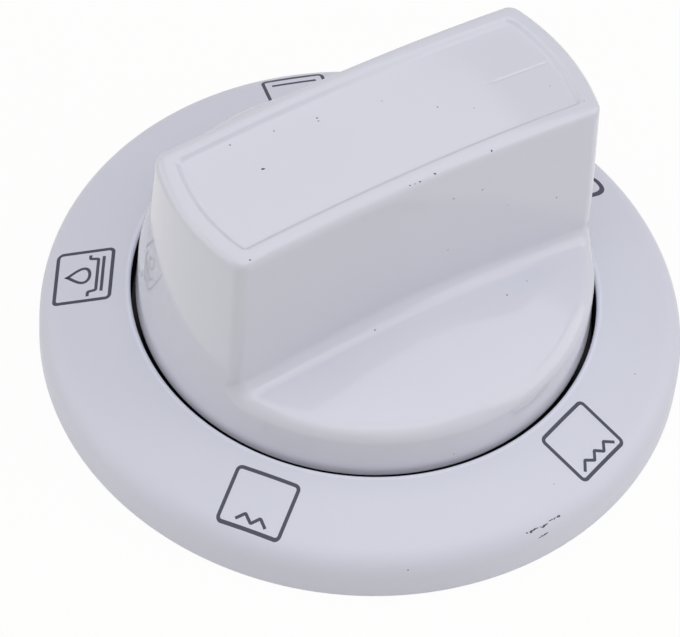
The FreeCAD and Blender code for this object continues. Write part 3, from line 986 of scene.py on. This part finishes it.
def moulded_skin_group():
    """Slight shade, gloss and height changes of a moulded surface."""
    known = bpy.data.node_groups.get("moulded_skin")
    if known:
        return known
    group, inside, outside = shader_group(
        "moulded_skin",
        [("Vector", "NodeSocketVector", None), ("Flow Scale", "NodeSocketFloat", 60.0),
         ("Grain Scale", "NodeSocketFloat", 4000.0)],
        [("Shade", "NodeSocketFloat"), ("Gloss", "NodeSocketFloat"), ("Height", "NodeSocketFloat")],
    )
    flow = noise_node(group, inside.outputs["Vector"], inside.outputs["Flow Scale"], 3.0)
    grain = noise_node(group, inside.outputs["Vector"], inside.outputs["Grain Scale"], 2.0)
    group.links.new(flow, outside.inputs["Shade"])
    mixed = math_node(group, "MULTIPLY_ADD", grain, 0.5, math_node(group, "MULTIPLY", flow, 0.5))
    group.links.new(mixed, outside.inputs["Gloss"])
    group.links.new(grain, outside.inputs["Height"])
    return group


def fine_dust_group():
    """Mask of tiny sparse specks: the middles of a few cells of a cell pattern."""
    known = bpy.data.node_groups.get("fine_dust")
    if known:
        return known
    group, inside, outside = shader_group(
        "fine_dust",
        [("Vector", "NodeSocketVector", None), ("Scale", "NodeSocketFloat", 260.0),
         ("Share", "NodeSocketFloat", 0.25)],
        [("Mask", "NodeSocketFloat")],
    )
    cells = group.nodes.new("ShaderNodeTexVoronoi")
    group.links.new(inside.outputs["Vector"], cells.inputs["Vector"])
    group.links.new(inside.outputs["Scale"], cells.inputs["Scale"])
    split = group.nodes.new("ShaderNodeSeparateColor")
    group.links.new(cells.outputs["Color"], split.inputs["Color"])
    chosen = math_node(group, "LESS_THAN", split.outputs["Red"], inside.outputs["Share"])
    smallest, largest = 0.010, 0.026
    size = spread(group, split.outputs["Green"], smallest, largest)
    near = math_node(group, "LESS_THAN", cells.outputs["Distance"], size)
    group.links.new(math_node(group, "MULTIPLY", chosen, near), outside.inputs["Mask"])
    return group


def clear_tree(owner):
    """Empty node tree of a material or a world."""
    owner.use_nodes = True
    owner.node_tree.nodes.clear()
    return owner.node_tree


def place_group(tree, group, values, vector):
    """Group node in a material with its own values."""
    node = tree.nodes.new("ShaderNodeGroup")
    node.node_tree = group
    for label, value in values.items():
        node.inputs[label].default_value = value
    tree.links.new(vector, node.inputs["Vector"])
    return node


def mix_colours(tree, share, first, second):
    """Colour between two colours, each a socket or a plain colour."""
    node = tree.nodes.new("ShaderNodeMix")
    node.data_type = "RGBA"
    tree.links.new(share, node.inputs["Factor"])
    for label, value in (("A", first), ("B", second)):
        socket = [item for item in node.inputs if item.name == label and item.type == "RGBA"][0]
        feed(tree, (*value, 1.0) if isinstance(value, tuple) else value, socket)
    return [item for item in node.outputs if item.type == "RGBA"][0]


def spread(tree, value, low, high):
    """Value between 0 and 1 spread between two numbers."""
    return math_node(tree, "MULTIPLY_ADD", value, high - low, low)


def add_bump(tree, shader, height, strength, depth):
    """Bump from a height onto the shader."""
    bump = tree.nodes.new("ShaderNodeBump")
    bump.inputs["Strength"].default_value = strength
    bump.inputs["Distance"].default_value = depth
    tree.links.new(height, bump.inputs["Height"])
    tree.links.new(bump.outputs["Normal"], shader.inputs["Normal"])


def shaded(colour, factor):
    """Colour made darker or lighter by a factor."""
    return tuple(min(1.0, channel * factor) for channel in colour)


def skin_finish(name, flow, grain, tones, gloss, bump=None, stretch=None):
    """Material whose colour and roughness waver with the moulded skin, on Object coordinates.

    The skin has a flow and a grain scale, and stretch scales its axes. The colour goes between two
    tones and the roughness between two values of gloss. The bump is a strength and a depth.
    """
    material = bpy.data.materials.new(name)
    tree = clear_tree(material)
    shader = tree.nodes.new("ShaderNodeBsdfPrincipled")
    output = tree.nodes.new("ShaderNodeOutputMaterial")
    tree.links.new(shader.outputs["BSDF"], output.inputs["Surface"])
    place = tree.nodes.new("ShaderNodeTexCoord").outputs["Object"]
    vector = place
    if stretch:
        mapping = tree.nodes.new("ShaderNodeMapping")
        mapping.inputs["Scale"].default_value = stretch
        tree.links.new(place, mapping.inputs["Vector"])
        vector = mapping.outputs["Vector"]
    skin = place_group(tree, moulded_skin_group(), {"Flow Scale": flow, "Grain Scale": grain}, vector)
    tone = mix_colours(tree, skin.outputs["Shade"], *tones)
    tree.links.new(tone, shader.inputs["Base Color"])
    tree.links.new(spread(tree, skin.outputs["Gloss"], *gloss), shader.inputs["Roughness"])
    if bump:
        add_bump(tree, shader, skin.outputs["Height"], *bump)
    return material, tree, shader, place


def paint_over(tree, shader, mask, colour):
    """Mix a plain colour over the shader's colour by a mask."""
    socket = shader.inputs["Base Color"]
    tree.links.new(mix_colours(tree, mask, socket.links[0].from_socket, colour), socket)


def dust_mask(tree, place, scale, share):
    """Mask of fine specks in a share of the cells of a scale."""
    return place_group(tree, fine_dust_group(), {"Scale": scale, "Share": share}, place).outputs["Mask"]


def polished_cap_plastic(cap):
    """Polished white plastic with slight flow marks and a little dust."""
    colour = tuple(cap.colour)
    material, tree, shader, place = skin_finish(
        "polished_cap_plastic", flow=45.0, grain=900.0, gloss=(0.05, 0.11), bump=(0.02, 0.02 * MM),
        tones=(shaded(colour, 0.975), shaded(colour, 1.02)))
    paint_over(tree, shader, dust_mask(tree, place, 300.0, 0.22), (0.16, 0.16, 0.18))
    shader.inputs["IOR"].default_value = PLASTIC_IOR
    return material


def axis_place(tree, place):
    """Distance from the turning axis and height of a place."""
    split = tree.nodes.new("ShaderNodeSeparateXYZ")
    tree.links.new(place, split.inputs["Vector"])
    x, y, height = split.outputs
    square = math_node(tree, "MULTIPLY_ADD", y, y, math_node(tree, "MULTIPLY", x, x))
    return math_node(tree, "SQRT", square), height


def soft_mask(tree, value, full, none):
    """1 at one value, falling softly to 0 at another."""
    fade = tree.nodes.new("ShaderNodeMapRange")
    fade.interpolation_type = "SMOOTHSTEP"
    fade.inputs["From Min"].default_value = none
    fade.inputs["From Max"].default_value = full
    tree.links.new(value, fade.inputs["Value"])
    return fade.outputs["Result"]


def painted_gap_shade_mask(tree, radius, height, ring):
    """Mask of painted shade: 1 on the collar's wall down in the gap round the drum, fading out under the
    rim's rounding.
    """
    inside = math_node(tree, "LESS_THAN", radius, ring.hole_radius + ring.edge_rounding)
    full_height = ring.rim_height - 2.5 * ring.edge_rounding
    deep = soft_mask(tree, height, full_height, ring.rim_height - ring.edge_rounding)
    return math_node(tree, "MULTIPLY", inside, deep)


def satin_ring_plastic(ring):
    """Satin white plastic with a fine grain and a little dust, a painted highlight at the rim and painted
    shade, near black, in the gap.
    """
    rim_highlight_width = 0.7 * MM
    rim_highlight_lightness = 1.13
    painted_gap_shade_colour = (0.006, 0.006, 0.009)
    colour = tuple(ring.colour)
    material, tree, shader, place = skin_finish(
        "satin_ring_plastic", flow=55.0, grain=5200.0, gloss=(0.36, 0.52), bump=(0.08, 0.02 * MM),
        tones=(shaded(colour, 0.97), shaded(colour, 1.025)))
    paint_over(tree, shader, dust_mask(tree, place, 260.0, 0.12), (0.2, 0.2, 0.22))
    radius, height = axis_place(tree, place)
    # Painted highlight: the ring's colour made lighter in a band at the rim's rounding, where light
    # catches the edge.
    rim = soft_mask(tree, radius, ring.hole_radius + ring.edge_rounding, ring.hole_radius + rim_highlight_width)
    paint_over(tree, shader, rim, shaded(colour, rim_highlight_lightness))
    # Painted shade: the white collar's wall down in the gap is painted near black to stand in for the
    # shade there.
    paint_over(tree, shader, painted_gap_shade_mask(tree, radius, height, ring), painted_gap_shade_colour)
    shader.inputs["IOR"].default_value = PLASTIC_IOR
    return material


def black_core_plastic():
    """Black heat-resistant plastic with a dull grain."""
    material, _, shader, _ = skin_finish(
        "black_core_plastic", flow=80.0, grain=3000.0, gloss=(0.42, 0.62), bump=(0.15, 0.03 * MM),
        tones=((0.006, 0.006, 0.008), (0.016, 0.016, 0.019)))
    shader.inputs["Specular IOR Level"].default_value = 0.15
    return material


def drawn_spring_steel():
    """Bare spring steel strip with fine lines round it from rolling."""
    material, _, shader, _ = skin_finish(
        "drawn_spring_steel", flow=160.0, grain=700.0, gloss=(0.22, 0.42), bump=(0.1, 0.02 * MM),
        tones=((0.44, 0.45, 0.47), (0.62, 0.63, 0.66)), stretch=(1.0, 1.0, 14.0))
    shader.inputs["Metallic"].default_value = 1.0
    return material


def slate_print(marks):
    """Slate grey print with a slightly uneven tone."""
    colour = tuple(marks.colour)
    return skin_finish(
        "slate_print", flow=900.0, grain=6000.0, gloss=(0.4, 0.6),
        tones=(shaded(colour, 0.8), shaded(colour, 1.25)))[0]


def dark_dust():
    """Dark dry dust and rubbed-off dirt."""
    return skin_finish(
        "dark_dust", flow=3000.0, grain=9000.0, gloss=(0.7, 0.95),
        tones=((0.03, 0.03, 0.034), (0.13, 0.13, 0.14)))[0]


def seen_ray(tree):
    """1 for rays that show the backdrop itself: to the camera, in reflections, through clear matter."""
    path = tree.nodes.new("ShaderNodeLightPath").outputs
    mirrored = math_node(tree, "MAXIMUM", path["Is Glossy Ray"], path["Is Transmission Ray"])
    return math_node(tree, "MAXIMUM", path["Is Camera Ray"], mirrored)


def backdrop_material():
    """Warm white floor: seen as white by the camera and in reflections, with the knob's shadow kept."""
    seen_share = 0.94
    material = bpy.data.materials.new("white_floor")
    tree = clear_tree(material)
    diffuse = tree.nodes.new("ShaderNodeBsdfDiffuse")
    diffuse.inputs["Color"].default_value = (0.95, 0.93, 0.88, 1.0)
    glow = tree.nodes.new("ShaderNodeEmission")
    glow.inputs["Strength"].default_value = 1.0
    mix = tree.nodes.new("ShaderNodeMixShader")
    tree.links.new(math_node(tree, "MULTIPLY", seen_ray(tree), seen_share), mix.inputs["Fac"])
    tree.links.new(diffuse.outputs["BSDF"], mix.inputs[1])
    tree.links.new(glow.outputs["Emission"], mix.inputs[2])
    output = tree.nodes.new("ShaderNodeOutputMaterial")
    tree.links.new(mix.outputs["Shader"], output.inputs["Surface"])
    return material


# Operators, panel and registration

class KNOB_OT_make_cap(Operator):
    """Cap with drum, bar grip, tray and pointer line, in place of its solid"""

    bl_idname = "knob.make_cap"
    bl_label = "Make cap"

    def execute(self, context):
        cap = context.scene.knob.cap
        plastic = polished_cap_plastic(cap)
        piece = add_piece("cap_moulding", cap_shells(cap), plastic, "knob", sharp_deg=60.0)
        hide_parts("knob_cap")
        return {"FINISHED"}


class KNOB_OT_make_ring(Operator):
    """Dial ring with rounded shoulder, collar, ribs and screw bosses, in place of its solid"""

    bl_idname = "knob.make_ring"
    bl_label = "Make dial ring"

    def execute(self, context):
        ring = context.scene.knob.ring
        plastic = satin_ring_plastic(ring)
        piece = add_piece("ring_moulding", ring_shells(ring), plastic, "bezel")
        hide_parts("dial_ring")
        return {"FINISHED"}


class KNOB_OT_finish_core(Operator):
    """Finishes of the black core and the spring ring, which keep their solids"""

    bl_idname = "knob.finish_core"
    bl_label = "Finish core and spring"

    def execute(self, context):
        finishes = {"knob_core": black_core_plastic(), "shaft_spring": drawn_spring_steel()}
        for node, material in finishes.items():
            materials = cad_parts[node].data.materials
            materials.clear()
            materials.append(material)
        return {"FINISHED"}


class KNOB_OT_print_marks(Operator):
    """Printed dial marks on the ring's sloped face"""

    bl_idname = "knob.print_marks"
    bl_label = "Print dial marks"

    def execute(self, context):
        ring = context.scene.knob.ring
        marks = context.scene.knob.marks
        ink = slate_print(marks)
        entries = mark_lines(marks)
        for index, (name, lines) in enumerate(entries):
            angle = math.pi / 2 + marks.turns[index] - index * TAU / len(entries)
            place = dial_place(ring, marks.centre_radius + marks.shifts[index], angle)
            shells = [stroke_shell(line, width, marks.ink, closed, place) for line, width, closed in lines]
            add_piece(name, shells, ink, "bezel")
        return {"FINISHED"}


class KNOB_OT_add_wear(Operator):
    """Dust specks and a scuff, each on the surface that its pixel shows"""

    bl_idname = "knob.add_wear"
    bl_label = "Add dust and scuff"

    def execute(self, context):
        stage = context.scene.knob.stage
        depsgraph = context.evaluated_depsgraph_get()
        carriers = {"knob": bpy.data.objects["cap_moulding"], "bezel": bpy.data.objects["ring_moulding"]}
        trees = {body: BVHTree.FromObject(piece, depsgraph) for body, piece in carriers.items()}
        shells = {body: [] for body in carriers}
        spots = [(*spot, 1.0) for spot in DUST_SPOTS.values()]
        spots += [(*spot, SCUFF_STRETCH) for spot in SCUFF_SPOTS.values()]
        for index, (column, row, size, stretch) in enumerate(spots):
            place, direction = pixel_ray(stage, column, row)
            hits = [(*tree.ray_cast(place, direction), body) for body, tree in trees.items()]
            hits = [hit for hit in hits if hit[0] is not None]
            if not hits:
                raise RuntimeError("a speck's pixel misses the knob")
            point, normal, _, _, body = min(hits, key=lambda hit: hit[3])
            shells[body].append(flake_shell(point, normal, size * MM, FLAKE_SEED_STEP * index, stretch))
        dust = dark_dust()
        add_piece("cap_specks", shells["knob"], dust, "knob")
        add_piece("ring_specks", shells["bezel"], dust, "bezel")
        return {"FINISHED"}


class KNOB_OT_set_stage(Operator):
    """Floor, lights, world and camera"""

    bl_idname = "knob.set_stage"
    bl_label = "Set stage"

    def execute(self, context):
        scene = context.scene
        stage = scene.knob.stage
        scene.view_settings.view_transform = "Standard"
        self.add_floor(scene)
        self.light_world(scene, stage.sky)
        right = camera_frame(stage)[0]
        above = np.array([0, 0, 1.0])
        front = np.cross(right, above)
        self.add_lamp(scene, "key_lamp", stage.key_power, 0.8, 0.55 * above)
        self.add_lamp(scene, "front_lamp", stage.front_power, 0.6, 0.35 * front + 0.45 * above)
        self.add_lamp(scene, "right_lamp", stage.right_power, 0.5, 0.5 * right + 0.2 * above)
        self.add_lamp(scene, "left_lamp", stage.left_power, 0.5, -0.5 * right + 0.2 * above)
        self.add_camera(scene, stage)
        return {"FINISHED"}

    @staticmethod
    def add_floor(scene):
        """Wide square floor just below the ring's back."""
        half = 1.5
        height = -0.02 * MM
        corners = [(-half, -half), (half, -half), (half, half), (-half, half)]
        mesh = bpy.data.meshes.new("floor")
        mesh.from_pydata([(x, y, height) for x, y in corners], [], [(0, 1, 2, 3)])
        mesh.materials.append(backdrop_material())
        floor = bpy.data.objects.new("floor", mesh)
        scene.collection.objects.link(floor)
        floor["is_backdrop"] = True

    @staticmethod
    def light_world(scene, strength):
        """Even white light, seen as white where the camera or a reflection sees past the floor."""
        scene.world = bpy.data.worlds.new("white_room")
        tree = clear_tree(scene.world)
        light = tree.nodes.new("ShaderNodeBackground")
        light.inputs["Color"].default_value = (1.0, 1.0, 1.0, 1.0)
        tree.links.new(spread(tree, seen_ray(tree), strength, 1.0), light.inputs["Strength"])
        output = tree.nodes.new("ShaderNodeOutputWorld")
        tree.links.new(light.outputs["Background"], output.inputs["Surface"])

    @staticmethod
    def add_lamp(scene, name, power, size, place):
        """Square soft lamp that looks at the grip."""
        grip = Vector((0, 0, 0.015))
        data = bpy.data.lights.new(name, "AREA")
        data.energy = power
        data.size = size
        lamp = bpy.data.objects.new(name, data)
        lamp.location = place
        lamp.rotation_euler = (grip - Vector(place)).to_track_quat("-Z", "Y").to_euler()
        scene.collection.objects.link(lamp)

    @staticmethod
    def add_camera(scene, stage):
        """Camera whose shift puts the ring's centre on its pixel of the photograph's frame."""
        optics = bpy.data.cameras.new("camera")
        optics.lens = stage.lens
        optics.sensor_width = SENSOR_WIDTH
        optics.shift_x = (PHOTO_WIDTH / 2 - stage.centre_column) / PHOTO_WIDTH
        optics.shift_y = (stage.centre_row - PHOTO_HEIGHT / 2) / PHOTO_WIDTH
        optics.clip_start = 0.01
        camera = bpy.data.objects.new("camera", optics)
        columns = np.stack(camera_frame(stage), axis=-1)
        camera.matrix_world = Matrix([*columns.tolist(), (0, 0, 0, 1)])
        scene.collection.objects.link(camera)
        scene.camera = camera


class KNOB_PT_panel(Panel):
    """Buttons of the knob's pieces and the stage"""

    bl_idname = "KNOB_PT_panel"
    bl_label = "Oven control knob"
    bl_space_type = "VIEW_3D"
    bl_region_type = "UI"
    bl_category = "Knob"

    def draw(self, context):
        for operator in OPERATORS:
            self.layout.operator(operator.bl_idname)
        settings = context.scene.knob
        for group in (settings.ring, settings.cap, settings.marks, settings.stage):
            box = self.layout.box()
            for name in group.__annotations__:
                box.prop(group, name)


OPERATORS = (
    KNOB_OT_make_ring,
    KNOB_OT_make_cap,
    KNOB_OT_finish_core,
    KNOB_OT_print_marks,
    KNOB_OT_add_wear,
    KNOB_OT_set_stage,
)
CLASSES = (
    DialRingSettings, CapSettings, MarkSettings, StageSettings, KnobSettings, *OPERATORS, KNOB_PT_panel,
)


def register():
    """Register the classes and the scene's settings."""
    for item in CLASSES:
        bpy.utils.register_class(item)
    bpy.types.Scene.knob = PointerProperty(type=KnobSettings)


def unregister():
    """Take the settings and the classes out again."""
    del bpy.types.Scene.knob
    for item in reversed(CLASSES):
        bpy.utils.unregister_class(item)


def main():
    """Build every piece in order and work out the box before and after."""
    register()
    bpy.ops.knob.make_ring()
    bpy.ops.knob.make_cap()
    bpy.ops.knob.finish_core()
    bpy.ops.knob.print_marks()
    bpy.ops.knob.add_wear()
    bpy.ops.knob.set_stage()
    boxes = {"cad": CAD_BOX, "visual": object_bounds()}
    boxes = {name: [[float(value) for value in corner] for corner in box] for name, box in boxes.items()}


if __name__ == "__main__":
    main()
